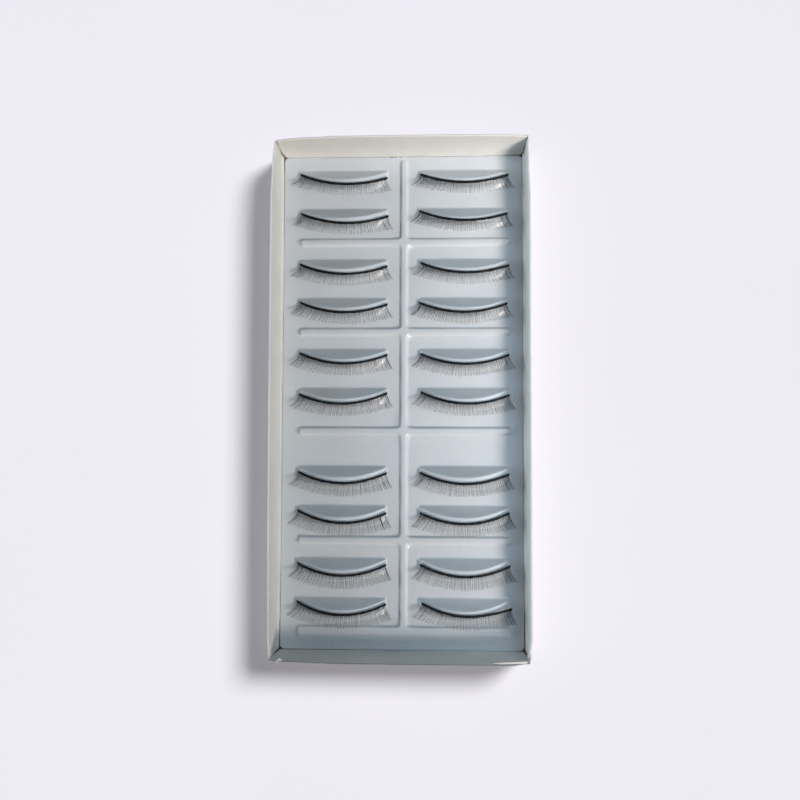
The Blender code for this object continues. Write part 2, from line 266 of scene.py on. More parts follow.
def moulded_plastic():
    """White formed sheet with a soft gloss: faint ripples, and a light orange peel."""
    made, tree, shader = new_material("moulded_plastic")
    where = add_node(tree, "ShaderNodeTexCoord").outputs["Object"]
    cloud = noise(tree, where, 60.0, 3.0, 0.5)
    grain = noise(tree, where, 1500.0, 3.0, 0.5)
    ripple = noise(tree, where, 220.0, 2.0, 0.5)
    white = ramp(tree, cloud, ((0.3, (0.615, 0.645, 0.665)), (0.7, (0.65, 0.68, 0.695))))
    tree.links.new(white, shader.inputs["Base Color"])
    rough = grey_ramp(tree, grain, ((0.3, 0.27), (0.7, 0.34)))
    tree.links.new(rough, shader.inputs["Roughness"])
    shader.inputs["Specular IOR Level"].default_value = 1.0
    waves = bump(tree, ripple, 0.10, 0.3 * MM)
    tree.links.new(bump(tree, grain, 0.08, 0.03 * MM, waves), shader.inputs["Normal"])
    return made


def lash_fibre():
    """Near-black thread and hair: dark brown-black, with a faint gloss along the strands."""
    made, tree, shader = new_material("lash_fibre")
    where = add_node(tree, "ShaderNodeTexCoord").outputs["Object"]
    strand = noise(tree, where, 1800.0, 3.0, 0.6)
    dark = ramp(tree, strand, ((0.3, (0.002, 0.002, 0.0025)), (0.75, (0.008, 0.008, 0.008))))
    tree.links.new(dark, shader.inputs["Base Color"])
    rough = grey_ramp(tree, strand, ((0.3, 0.55), (0.7, 0.75)))
    tree.links.new(rough, shader.inputs["Roughness"])
    shader.inputs["Specular IOR Level"].default_value = 0.25
    tree.links.new(bump(tree, strand, 0.5, 0.05 * MM), shader.inputs["Normal"])
    return made


MATERIALS = {
    # On the walls, the foot rim's colour (0.30, 0.30, 0.28) is painted shade.
    "paperboard": paperboard("paperboard", (0.30, 0.30, 0.28)),
    "torn_cover": paperboard("torn_cover", (0.74, 0.73, 0.68)),
    "kraft": kraft(),
    "moulded_plastic": moulded_plastic(),
    "lash_fibre": lash_fibre(),
}


# Meshes

def make_piece(name, points, faces, material_name, smooth=True):
    """A mesh object from points in millimetres, riding on the body."""
    mesh = bpy.data.meshes.new(name)
    mesh.from_pydata([tuple(float(c) * MM for c in point) for point in points], [], faces)
    mesh.validate()
    if smooth:
        mesh.polygons.foreach_set("use_smooth", [True] * len(mesh.polygons))
    mesh.materials.append(MATERIALS[material_name])
    made = bpy.data.objects.new(name, mesh)
    bpy.context.scene.collection.objects.link(made)
    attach(made, "root")
    return made


def curve_at(table, place):
    """Straight-line reading of a table of (place, value) pairs."""
    places = [pair[0] for pair in table]
    values = [pair[1] for pair in table]
    return float(np.interp(place, places, values))


def smooth_step(low, high, value):
    share = min(1.0, max(0.0, (value - low) / (high - low)))
    return share * share * (3.0 - 2.0 * share)


def arch_height(across):
    share = min(1.0, abs(across) / (SEAT_WIDTH / 2))
    return ARCH_END_HEIGHT + (ARCH_HEIGHT - ARCH_END_HEIGHT) * (1.0 - share * share)


def ridge_place(across):
    return arch_height(across) * CRESCENT_RUN / ARCH_HEIGHT


# Insert. Its rows of vertices follow each seat's profile, and its columns each seat's width.
# cut: how far a corner of the profile is rounded back along both of its sides.
CORNER_CUTS = (0.60, 0.42, 0.50, 0.60)
CORNER_STEPS = 4
SEAT_COLUMNS = 34
END_RUN = 0.95
END_FILLET = (0.12, 0.30, 0.50, 0.70, 0.85, 1.0)
END_HEIGHTS = (0.95, 0.74, 0.42, 0.17, 0.04, 0.0)
RIB_FOOT = 0.20
RIB_SHOULDER = 0.75
RIB_BLEND = 1.8
RIB_CORNER = 1.1
FOOT_RIB_SLOPE = 0.5
RIB_PLACES = (-2.0, -1.7, -1.5, -1.3, -1.1, -0.9, -0.65, -0.3, 0.3, 0.65, 0.9, 1.1, 1.3, 1.5, 1.7, 2.0)
INSERT_EDGE = 0.4


def seat_profile(share):
    """Stations of a seat's profile at a share of its half width: (along, height) pairs."""
    height = arch_height(share * SEAT_WIDTH / 2)
    ridge = ridge_place(share * SEAT_WIDTH / 2)
    foot = SEAT_DEPTH - SEAT_BASE_SAG * share * share
    corners = [(0.0, 0.0), (ridge, height), (ridge + ARCH_TOP, height), (foot, 0.0)]
    outline = [(-1.0, 0.0)] + corners + [(foot + 1.0, 0.0)]
    stations = []
    for index, cut in enumerate(CORNER_CUTS):
        here = np.array(outline[index + 1])
        before = np.array(outline[index])
        after = np.array(outline[index + 2])
        back = before - here
        ahead = after - here
        room_back = np.linalg.norm(back)
        room_ahead = np.linalg.norm(ahead)
        start = here + back / room_back * min(cut, 0.45 * room_back)
        end = here + ahead / room_ahead * min(cut, 0.45 * room_ahead)
        for step in range(CORNER_STEPS + 1):
            t = step / CORNER_STEPS
            stations.append((1 - t) ** 2 * start + 2 * t * (1 - t) * here + t * t * end)
        if index < 3:
            next_cut = CORNER_CUTS[index + 1]
            next_start = after - ahead / room_ahead * min(next_cut, 0.45 * room_ahead)
            for t in (1 / 3, 2 / 3):
                stations.append(end + (next_start - end) * t)
    return stations


def rib_field(x, y):
    """Height of the ribs and the spine above the floor, rounded where they meet."""
    left = COLUMN_X["left"] - SEAT_WIDTH / 2
    right = COLUMN_X["right"] + SEAT_WIDTH / 2 + 2 * RIB_OVERHANG
    half = RIB_WIDTH / 2

    def inside(dx, dy):
        """Distance inside a round-cornered bar, from the distances inside its sides."""
        if dx < RIB_CORNER and dy < RIB_CORNER:
            return RIB_CORNER - math.hypot(RIB_CORNER - dx, RIB_CORNER - dy)
        return min(dx, dy)

    nearest = min(RIBS, key=lambda rib: abs(rib - y))
    past = y - nearest
    if nearest == RIBS[-1] and past < 0:
        past *= FOOT_RIB_SLOPE
    bar = inside(min(x - left, right - x), half - abs(past))
    head = INSERT_Y + INSERT_LENGTH / 2 - INSERT_CORNER_RADIUS
    spine = inside(half - abs(x - SPINE_X), min(y - RIBS[-1], head - y))
    reach = max(0.0, RIB_BLEND - abs(bar - spine)) / RIB_BLEND
    depth = max(bar, spine) + reach * reach * RIB_BLEND / 4
    share = (depth + RIB_FOOT) / (RIB_FOOT + RIB_SHOULDER)
    return RIB_HEIGHT * smooth_step(0.0, 1.0, share)


def insert_columns():
    """The grid's columns: (x, seat's middle or None, share across it, fade of the seat)."""
    columns = []
    half = SEAT_WIDTH / 2 - END_RUN
    low = INSERT_X - INSERT_WIDTH / 2 + INSERT_EDGE
    high = INSERT_X + INSERT_WIDTH / 2 - INSERT_EDGE

    def seat(centre):
        made = []
        fillet = [(part * END_RUN, height) for part, height in zip(END_FILLET, END_HEIGHTS)]
        for out, height in reversed(fillet):
            made.append((centre - half - out, centre, -1.0, height, -out))
        for step in range(SEAT_COLUMNS + 1):
            u = -1.0 + 2.0 * step / SEAT_COLUMNS
            share = 0.5 * u + 0.5 * math.sin(u * math.pi / 2)
            made.append((centre + share * half, centre, share, 1.0, 0.0))
        for out, height in fillet:
            made.append((centre + half + out, centre, 1.0, height, out))
        return made

    def plain(places):
        return [(x, None, 0.0, 0.0, 0.0) for x in places]

    left = seat(COLUMN_X["left"])
    right = seat(COLUMN_X["right"])
    first = left[0][0]
    last = right[-1][0]
    columns += plain([low, low + 0.5, low + 1.0, low + 1.6, low + 2.4, (low + first) / 2 + 0.8])
    columns += left
    columns += plain([left[-1][0] + 0.5, left[-1][0] + 1.3])
    columns += plain([SPINE_X + place for place in RIB_PLACES])
    columns += plain([right[0][0] - 1.3, right[0][0] - 0.5])
    columns += right
    columns += plain([last + 0.6, last + 1.4, high - 1.6, high - 1.0, high - 0.5, high])
    return columns


def insert_rows():
    """The grid's rows: (y, row of seats or None, station of its profile)."""
    rows = []
    top = INSERT_Y + INSERT_LENGTH / 2 - INSERT_EDGE
    bottom = INSERT_Y - INSERT_LENGTH / 2 + INSERT_EDGE
    stations = len(seat_profile(0.0))
    rows += [(y, None, 0) for y in (top, top - 0.5, top - 1.0, top - 1.6, top - 2.6)]
    for index, chord in enumerate(CHORDS):
        rows += [(chord, index, station) for station in range(stations)]
        below = chord - SEAT_DEPTH - 0.7
        ribs = [rib for rib in RIBS if chord - 16.0 < rib < chord - 8.0]
        if ribs:
            rib = ribs[0]
            rows += [(y, None, 0) for y in (below - 0.35,) if y > rib + 2.2]
            rows += [(rib - place, None, 0) for place in RIB_PLACES]
            below = rib - 2.0
        after = CHORDS[index + 1] if index + 1 < len(CHORDS) else bottom
        gap = below - after
        if index + 1 == len(CHORDS):
            rows += [(y, None, 0) for y in (bottom + 4.0, bottom + 2.6, bottom + 1.6, bottom + 1.0)]
            rows += [(y, None, 0) for y in (bottom + 0.5, bottom)]
        else:
            count = 3 if gap > 6.0 else 2
            rows += [(below - (gap - 0.5) * (n + 1) / (count + 1), None, 0) for n in range(count)]
    return rows


def insert_sheet():
    """The formed sheet: one grid of vertices, with its edge rolled down into the skirt."""
    columns = insert_columns()
    rows = insert_rows()
    profiles = {}
    points = []
    corner_x = INSERT_WIDTH / 2 - INSERT_CORNER_RADIUS
    corner_y = INSERT_LENGTH / 2 - INSERT_CORNER_RADIUS
    radius = INSERT_CORNER_RADIUS - INSERT_EDGE
    for y, row, station in rows:
        for x, centre, share, fade, out in columns:
            place_x = x
            place_y = y
            height = 0.0
            if row is not None:
                key = (share, centre is None)
                if key not in profiles:
                    profiles[key] = seat_profile(share if centre is not None else 1.0)
                along, height = profiles[key][station]
                place_y = CHORDS[row] - along
                if centre is None:
                    height = 0.0
                else:
                    height *= fade
                    shoulder = ridge_place(share * SEAT_WIDTH / 2) + ARCH_TOP
                    foot = SEAT_DEPTH - SEAT_BASE_SAG * share * share
                    pull = min(1.0, max(0.0, (along - shoulder) / (foot - shoulder)))
                    narrow = 1.0 + (SEAT_BASE_WIDTH / SEAT_WIDTH - 1.0) * pull * 0.8
                    place_x = centre + (x - centre - out) * narrow + out
            height = max(height, rib_field(place_x, place_y))
            dx = place_x - INSERT_X
            dy = place_y - INSERT_Y
            if abs(dx) > corner_x and abs(dy) > corner_y:
                u = (abs(dx) - corner_x) / radius
                v = (abs(dy) - corner_y) / radius
                new_x = corner_x + radius * u * math.sqrt(max(0.0, 1 - v * v / 2))
                new_y = corner_y + radius * v * math.sqrt(max(0.0, 1 - u * u / 2))
                place_x = INSERT_X + math.copysign(new_x, dx)
                place_y = INSERT_Y + math.copysign(new_y, dy)
            points.append((place_x, place_y, FLOOR + height))
    across = len(columns)
    down = len(rows)
    faces = []
    for j in range(down - 1):
        for i in range(across - 1):
            a = j * across + i
            faces.append((a, a + across, a + across + 1, a + 1))
    loop = list(range(across))
    loop += [j * across + across - 1 for j in range(1, down)]
    loop += [(down - 1) * across + i for i in range(across - 2, -1, -1)]
    loop += [j * across for j in range(down - 2, 0, -1)]
    outward = []
    for index in loop:
        dx = points[index][0] - INSERT_X
        dy = points[index][1] - INSERT_Y
        nx = math.copysign(max(0.0, abs(dx) - corner_x), dx)
        ny = math.copysign(max(0.0, abs(dy) - corner_y), dy)
        size = math.hypot(nx, ny)
        outward.append((nx / size, ny / size))
    previous = loop
    turns = (math.pi / 8, math.pi / 4, math.pi * 3 / 8, math.pi / 2)
    rings = [(math.sin(turn), 1 - math.cos(turn)) for turn in turns]
    levels = [(INSERT_EDGE * out, INSERT_EDGE * down_by) for out, down_by in rings]
    levels += [(INSERT_EDGE, 1.6), (INSERT_EDGE, FLOOR - INSERT_BOTTOM)]
    for out, down_by in levels:
        ring = []
        for index, (nx, ny) in zip(loop, outward):
            ring.append(len(points))
            points.append((points[index][0] + nx * out, points[index][1] + ny * out, FLOOR - down_by))
        for k in range(len(loop)):
            after = (k + 1) % len(loop)
            faces.append((previous[k], previous[after], ring[after], ring[k]))
        previous = ring
    made = make_piece("insert_sheet", points, faces, "moulded_plastic")
    shell = made.modifiers.new("thickness", "SOLIDIFY")
    shell.thickness = SHEET * MM
    shell.offset = -1.0
    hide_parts("insert_tray")
    return made


# Box. Each wall is a strip of board folded over at the rim, down to the insert.
# lean: how far its rim lies outside its foot. fold: the fold's radius. toe: how far the
# inner leaf's end is turned flat, and level: its height over the insert's floor. open: how
# far the leaf's foot is torn back at either end. blunt: how far out either end is mitred.
# gap: what the leaf leaves to the insert, below 0 where it covers its edge, and bow: how
# far the rim stands out, both at shares along the wall from its head or its left end.
WALLS = {
    "left": {
        "lean": 1.0, "fold": 0.28, "toe": 0.8, "level": 0.22, "open": (0.5, 0.5), "blunt": (0.9, 0.8),
        "gap": ((0.0, 0.15), (0.06, 0.0), (0.2, -0.12), (0.8, -0.12), (0.93, 0.0), (1.0, 0.3)),
        "bow": (
            (0.0, -1.1), (0.05, -0.35), (0.11, 0.1), (0.5, 0.05), (0.8, -0.15), (0.96, -0.5), (1.0, -0.9),
        ),
    },
    "head": {
        "lean": 2.0, "fold": 0.28, "toe": 0.0, "level": 0.08, "open": (0.3, 0.5), "blunt": (1.4, 1.4),
        "gap": ((0.0, -0.15), (0.86, -0.15), (0.93, -0.05), (1.0, 0.1)),
        "bow": ((0.0, -1.2), (0.1, -0.45), (0.27, 0.0), (0.74, 0.05), (0.9, -0.15), (1.0, -0.5)),
    },
    "right": {
        "lean": 0.2, "fold": 0.40, "toe": 0.5, "level": 0.15, "open": (0.4, 0.4), "blunt": (1.2, 0.75),
        "gap": ((0.0, 0.05), (0.1, 0.0), (0.8, 0.0), (0.9, 0.15), (0.94, 0.3), (1.0, 0.45)),
        "bow": ((0.0, -0.3), (0.06, -0.2), (0.11, 0.15), (0.5, 0.1), (0.8, 0.05), (0.96, 0.0), (1.0, -0.9)),
    },
    "foot": {
        "lean": 0.4, "fold": 0.10, "toe": 0.0, "level": -0.05, "open": (0.3, 0.2), "blunt": (0.8, 0.75),
        "gap": ((0.0, 0.15), (0.3, 0.03), (0.6, -0.03), (1.0, -0.06)),
        "bow": ((0.0, -0.4), (0.1, -0.1), (0.27, 0.3), (0.74, 0.3), (0.94, 0.15), (1.0, -0.6)),
    },
}
WALL_STEPS = 90
FOLD_STEPS = 8
LEAF_STEPS = 10
LEAF_CURVE = 0.32
BASE_OVERLAP = 0.6


def wall_section(facts, bow, gap, bulge):
    """A wall's section, from its outer foot over the fold: (outward, height, leaf) with
    leaf 0 on the outside and from 0 to 1 down the inner leaf."""
    fold = facts["fold"]
    top = BOX_HEIGHT - fold

    def outer(z):
        rise = z / top
        return WALL_THICKNESS + facts["lean"] * rise + bow * max(0.0, rise) ** 1.3

    section = [(WALL_THICKNESS - 0.2, 0.0, 0.0), (WALL_THICKNESS, 0.2, 0.0)]
    section += [(outer(top * n / 6), top * n / 6, 0.0) for n in range(1, 7)]
    middle = outer(top) - fold
    for step in range(1, FOLD_STEPS):
        angle = math.pi * step / FOLD_STEPS
        section.append((middle + fold * math.cos(angle), top + fold * math.sin(angle), 0.0))
    start = middle - fold
    toe = facts["toe"]
    end = -INSERT_FIT + gap
    foot = FLOOR + facts["level"] + 0.25 * (toe > 0)
    for step in range(LEAF_STEPS + 1):
        down = step / LEAF_STEPS
        toward = (1 - LEAF_CURVE) * down + LEAF_CURVE * down ** 4
        belly = bulge * math.sin(math.pi * down)
        section.append((start + (end + toe - start) * toward + belly, top + (foot - top) * down, down))
    if toe:
        section += [(end + toe * 0.5, foot - 0.08, 1.0), (end, FLOOR + facts["level"], 1.0)]
    behind = max(end, -INSERT_FIT) + 0.12
    section += [(behind, z, 1.0) for z in (FLOOR - 0.15, FLOOR - 0.6, BASE_THICKNESS - 0.1)]
    return section


def make_wall(name):
    """One wall as a closed strip with mitred, rounded ends."""
    facts = WALLS[name]
    foot_x = INSERT_WIDTH / 2 + INSERT_FIT
    foot_y = INSERT_LENGTH / 2 + INSERT_FIT
    top = BOX_HEIGHT - facts["fold"]
    chance = random.Random(name)
    waves = []
    for _ in range(4):
        waves.append((chance.uniform(0.02, 0.07), chance.uniform(2.0, 9.0), chance.uniform(0.0, 6.3)))
    side = name in ("left", "right")
    half_length = foot_y if side else foot_x
    ends = ("head", "foot") if side else ("left", "right")
    points = []
    count = 0
    for step in range(WALL_STEPS + 1):
        u = step / WALL_STEPS
        share = 0.35 * (0.5 - 0.5 * math.cos(math.pi * u)) + 0.65 * u
        wave = sum(size * math.sin(rate * share * 6.3 + shift) for size, rate, shift in waves)
        ripple = sum(size * math.cos(rate * share * 5.1 - shift) for size, rate, shift in waves)
        bow = curve_at(facts["bow"], share)
        gap = curve_at(facts["gap"], share) + 0.35 * wave
        section = wall_section(facts, bow, gap, 0.5 * ripple)
        count = len(section)
        for outward, z, leaf in section:
            rise = z / top
            near = half_length + WALLS[ends[0]]["lean"] * rise
            far = half_length + WALLS[ends[1]]["lean"] * rise
            out = outward - facts["lean"] * rise
            round_off = min(1.0, 1.5 * rise)
            peaks = [WALL_THICKNESS - (WALL_THICKNESS - most) * round_off for most in facts["blunt"]]
            mitres = [0.96 * (out if out < peak else 2 * peak - out) for peak in peaks]
            cut = 0.05 if side else 0.08
            cut += 0.35 * (max(0.0, z - top + 1.5) / 2.0) ** 2
            first = -(near + mitres[0] - cut - facts["open"][0] * leaf ** 3)
            last = far + mitres[1] - cut - facts["open"][1] * leaf ** 3
            along = first + (last - first) * share
            if name == "left":
                points.append((INSERT_X - foot_x - outward, INSERT_Y - along, z))
            elif name == "right":
                points.append((INSERT_X + foot_x + outward, INSERT_Y - along, z))
            elif name == "head":
                points.append((INSERT_X + along, INSERT_Y + foot_y + outward, z))
            else:
                points.append((INSERT_X + along, INSERT_Y - foot_y - outward, z))
    faces = []
    for step in range(WALL_STEPS):
        for k in range(count):
            after = (k + 1) % count
            a = step * count
            b = a + count
            faces.append((a + k, a + after, b + after, b + k))
    faces.append(tuple(reversed(range(count))))
    faces.append(tuple(WALL_STEPS * count + k for k in range(count)))
    if name in ("left", "foot"):
        faces = [tuple(reversed(face)) for face in faces]
    return points, faces


def add_prism(points, faces, outlines):
    """Adds a closed solid between level outlines of as many points each, lowest first."""
    count = len(outlines[0])
    start = len(points)
    for outline in outlines:
        points += outline
    faces.append(tuple(start + k for k in reversed(range(count))))
    for layer in range(len(outlines) - 1):
        a = start + layer * count
        for k in range(count):
            after = (k + 1) % count
            faces.append((a + k, a + after, a + count + after, a + count + k))
    faces.append(tuple(start + (len(outlines) - 1) * count + k for k in range(count)))


# Posts of bare board behind the corners' seams: a height, and how far outside the insert's
# room their near and far sides lie at it
POSTS = ((BASE_THICKNESS, 0.0, 0.7), (5.0, 0.1, 0.65), (10.0, 0.3, 0.5))
# Bare board seen in the gaps beside the insert: low x, low y, high x, high y
GAP_BOARD = (
    (41.92, -85.6, 42.6, -48.0),
    (-41.7, -85.6, -41.12, -76.0),
    (28.0, 84.32, 41.9, 84.9),
    (-41.2, -86.8, -10.0, -85.92),
)


def corner_board():
    """Bare brown board behind the corners' seams, seen where the leaves are torn back."""
    points = []
    faces = []
    foot_x = INSERT_WIDTH / 2 + INSERT_FIT
    foot_y = INSERT_LENGTH / 2 + INSERT_FIT
    for side, sign_x in (("left", -1), ("right", 1)):
        for end, sign_y in (("head", 1), ("foot", -1)):
            outlines = []
            for z, near, far in POSTS:
                rise = z / BOX_HEIGHT
                low_x = foot_x + near * 0.9 + WALLS[side]["lean"] * rise * 0.95
                low_y = foot_y + near * 0.9 + WALLS[end]["lean"] * rise * 0.95
                high_x = foot_x + far + WALLS[side]["lean"] * rise
                high_y = foot_y + far + WALLS[end]["lean"] * rise
                square = [(low_x, low_y), (high_x, low_y), (high_x, high_y), (low_x, high_y)]
                if sign_x * sign_y < 0:
                    square.reverse()
                outlines.append([(INSERT_X + sign_x * x, INSERT_Y + sign_y * y, z) for x, y in square])
            add_prism(points, faces, outlines)
    for low_x, low_y, high_x, high_y in GAP_BOARD:
        outline = [(low_x, low_y), (high_x, low_y), (high_x, high_y), (low_x, high_y)]
        add_prism(points, faces, [[(x, y, z) for x, y in outline] for z in (FLOOR - 2.0, FLOOR - 0.45)])
    return make_piece("corner_board", points, faces, "kraft", smooth=False)


# Scraps of the box's pale cover, standing off its rim: name, height and corners in plan
SCRAPS = (
    (
        "torn_flap", 15.2,
        ((-40.83, -87.75), (-39.16, -86.55), (-38.3, -87.35), (-38.9, -87.75), (-40.33, -88.2)),
    ),
    (
        "rim_flap", 15.3,
        ((30.6, -87.45), (41.6, -86.75), (42.3, -87.0), (41.4, -87.6), (33.0, -87.75)),
    ),
)
SCRAP_THICKNESS = 0.16


def box_scraps():
    points = []
    faces = []
    for _, z, outline in SCRAPS:
        area = sum(a[0] * b[1] - b[0] * a[1] for a, b in zip(outline, outline[1:] + outline[:1]))
        if area < 0:
            outline = outline[::-1]
        levels = (z, z + SCRAP_THICKNESS)
        add_prism(points, faces, [[(x, y, level) for x, y in outline] for level in levels])
    return make_piece("box_scraps", points, faces, "torn_cover", smooth=False)


# Specks on the insert: x, y and size. Worn marks on its head edge: where each starts and ends.
SPECKS = ((-23.41, -84.46, 0.34), (30.81, -83.80, 0.28), (25.39, -85.06, 0.24), (21.14, -84.01, 0.16))
EDGE_MARKS = ((-4.04, -2.75), (-2.45, -1.75), (-0.62, -0.1))
SPECK_SIDES = 7


def specks():
    points = []
    faces = []
    chance = random.Random("specks")
    for x, y, size in SPECKS:
        outline = []
        for step in range(SPECK_SIDES):
            angle = 2 * math.pi * step / SPECK_SIDES
            radius = size / 2 * chance.uniform(0.7, 1.25)
            outline.append((x + radius * math.cos(angle), y + radius * math.sin(angle)))
        levels = ((FLOOR - 0.02, 1.0), (FLOOR + 0.05, 1.0), (FLOOR + 0.10, 0.5))
        add_prism(points, faces, [
            [(x + (px - x) * share, y + (py - y) * share, z) for px, py in outline] for z, share in levels
        ])
    edge = INSERT_Y + INSERT_LENGTH / 2 - 0.32
    for start, end in EDGE_MARKS:
        outline = [(start, edge - 0.14), (end, edge - 0.10), (end, edge + 0.14), (start, edge + 0.14)]
        add_prism(points, faces, [[(x, y, z) for x, y in outline] for z in (FLOOR - 0.3, FLOOR + 0.14)])
    return make_piece("specks", points, faces, "kraft", smooth=False)


def box_board():
    """The tray's four walls as one mesh."""
    points = []
    faces = []
    for name in WALLS:
        wall_points, wall_faces = make_wall(name)
        shift = len(points)
        points += wall_points
        faces += [tuple(index + shift for index in face) for face in wall_faces]
    made = make_piece("box_walls", points, faces, "paperboard")
    made.data.set_sharp_from_angle(angle=math.radians(50))
    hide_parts("box")
    return made


def box_base():
    """The base: one sheet between the walls, its bare side up."""
    half_x = INSERT_WIDTH / 2 + INSERT_FIT + BASE_OVERLAP
    half_y = INSERT_LENGTH / 2 + INSERT_FIT + BASE_OVERLAP
    columns = 24
    rows = 48
    points = []
    faces = []
    for z in (0.05, BASE_THICKNESS):
        for j in range(rows + 1):
            for i in range(columns + 1):
                x = INSERT_X - half_x + 2 * half_x * i / columns
                y = INSERT_Y - half_y + 2 * half_y * j / rows
                points.append((x, y, z))
    layer = (rows + 1) * (columns + 1)
    for j in range(rows):
        for i in range(columns):
            a = j * (columns + 1) + i
            b = a + columns + 1
            faces.append((a, b, b + 1, a + 1))
            faces.append((layer + a, layer + a + 1, layer + b + 1, layer + b))
    rim = list(range(columns + 1))
    rim += [j * (columns + 1) + columns for j in range(1, rows + 1)]
    rim += [rows * (columns + 1) + i for i in range(columns - 1, -1, -1)]
    rim += [j * (columns + 1) for j in range(rows - 1, 0, -1)]
    for k in range(len(rim)):
        after = (k + 1) % len(rim)
        faces.append((rim[k], rim[after], layer + rim[after], layer + rim[k]))
    made = make_piece("box_base", points, faces, "kraft", smooth=False)
    made.data.materials.append(MATERIALS["paperboard"])
    for face in made.data.polygons:
        if face.normal.z < -0.5:
            face.material_index = 1
    return made


# Strips
BAND_STEPS = 70
BAND_SIDES = 10
BAND_BODY_WIDTH = 0.86
BAND_LOWER = 0.3
BAND_OVERRUN = 0.7
BAND_REST = 0.1
HAIRS = 130
HAIR_STEPS = 8
HAIR_SIDES = 3
HAIR_RADIUS = 0.052
HAIR_TIP_RADIUS = 0.028
HAIR_ROOT_TURN = 9.0
HAIR_ROOT_HEIGHT = 0.22
HAIR_DIP = 0.30
HAIR_OVERREACH = 0.3
HAIR_SHARE = 0.985
HAIR_CLUMPS = 14
CLUMP_SHARE = 0.04
# At the band's ends: how far the tips stand outward, how much nearer the foot they lie, and
# the hairs more that each end's tuft has
HAIR_OUT = {"left": 3.4, "right": 2.3}
HAIR_LOWER = {"left": -0.05, "right": 0.5}
HAIR_DARK_ENDS = 5


def rounded(value, power):
    return math.copysign(abs(value) ** power, value)


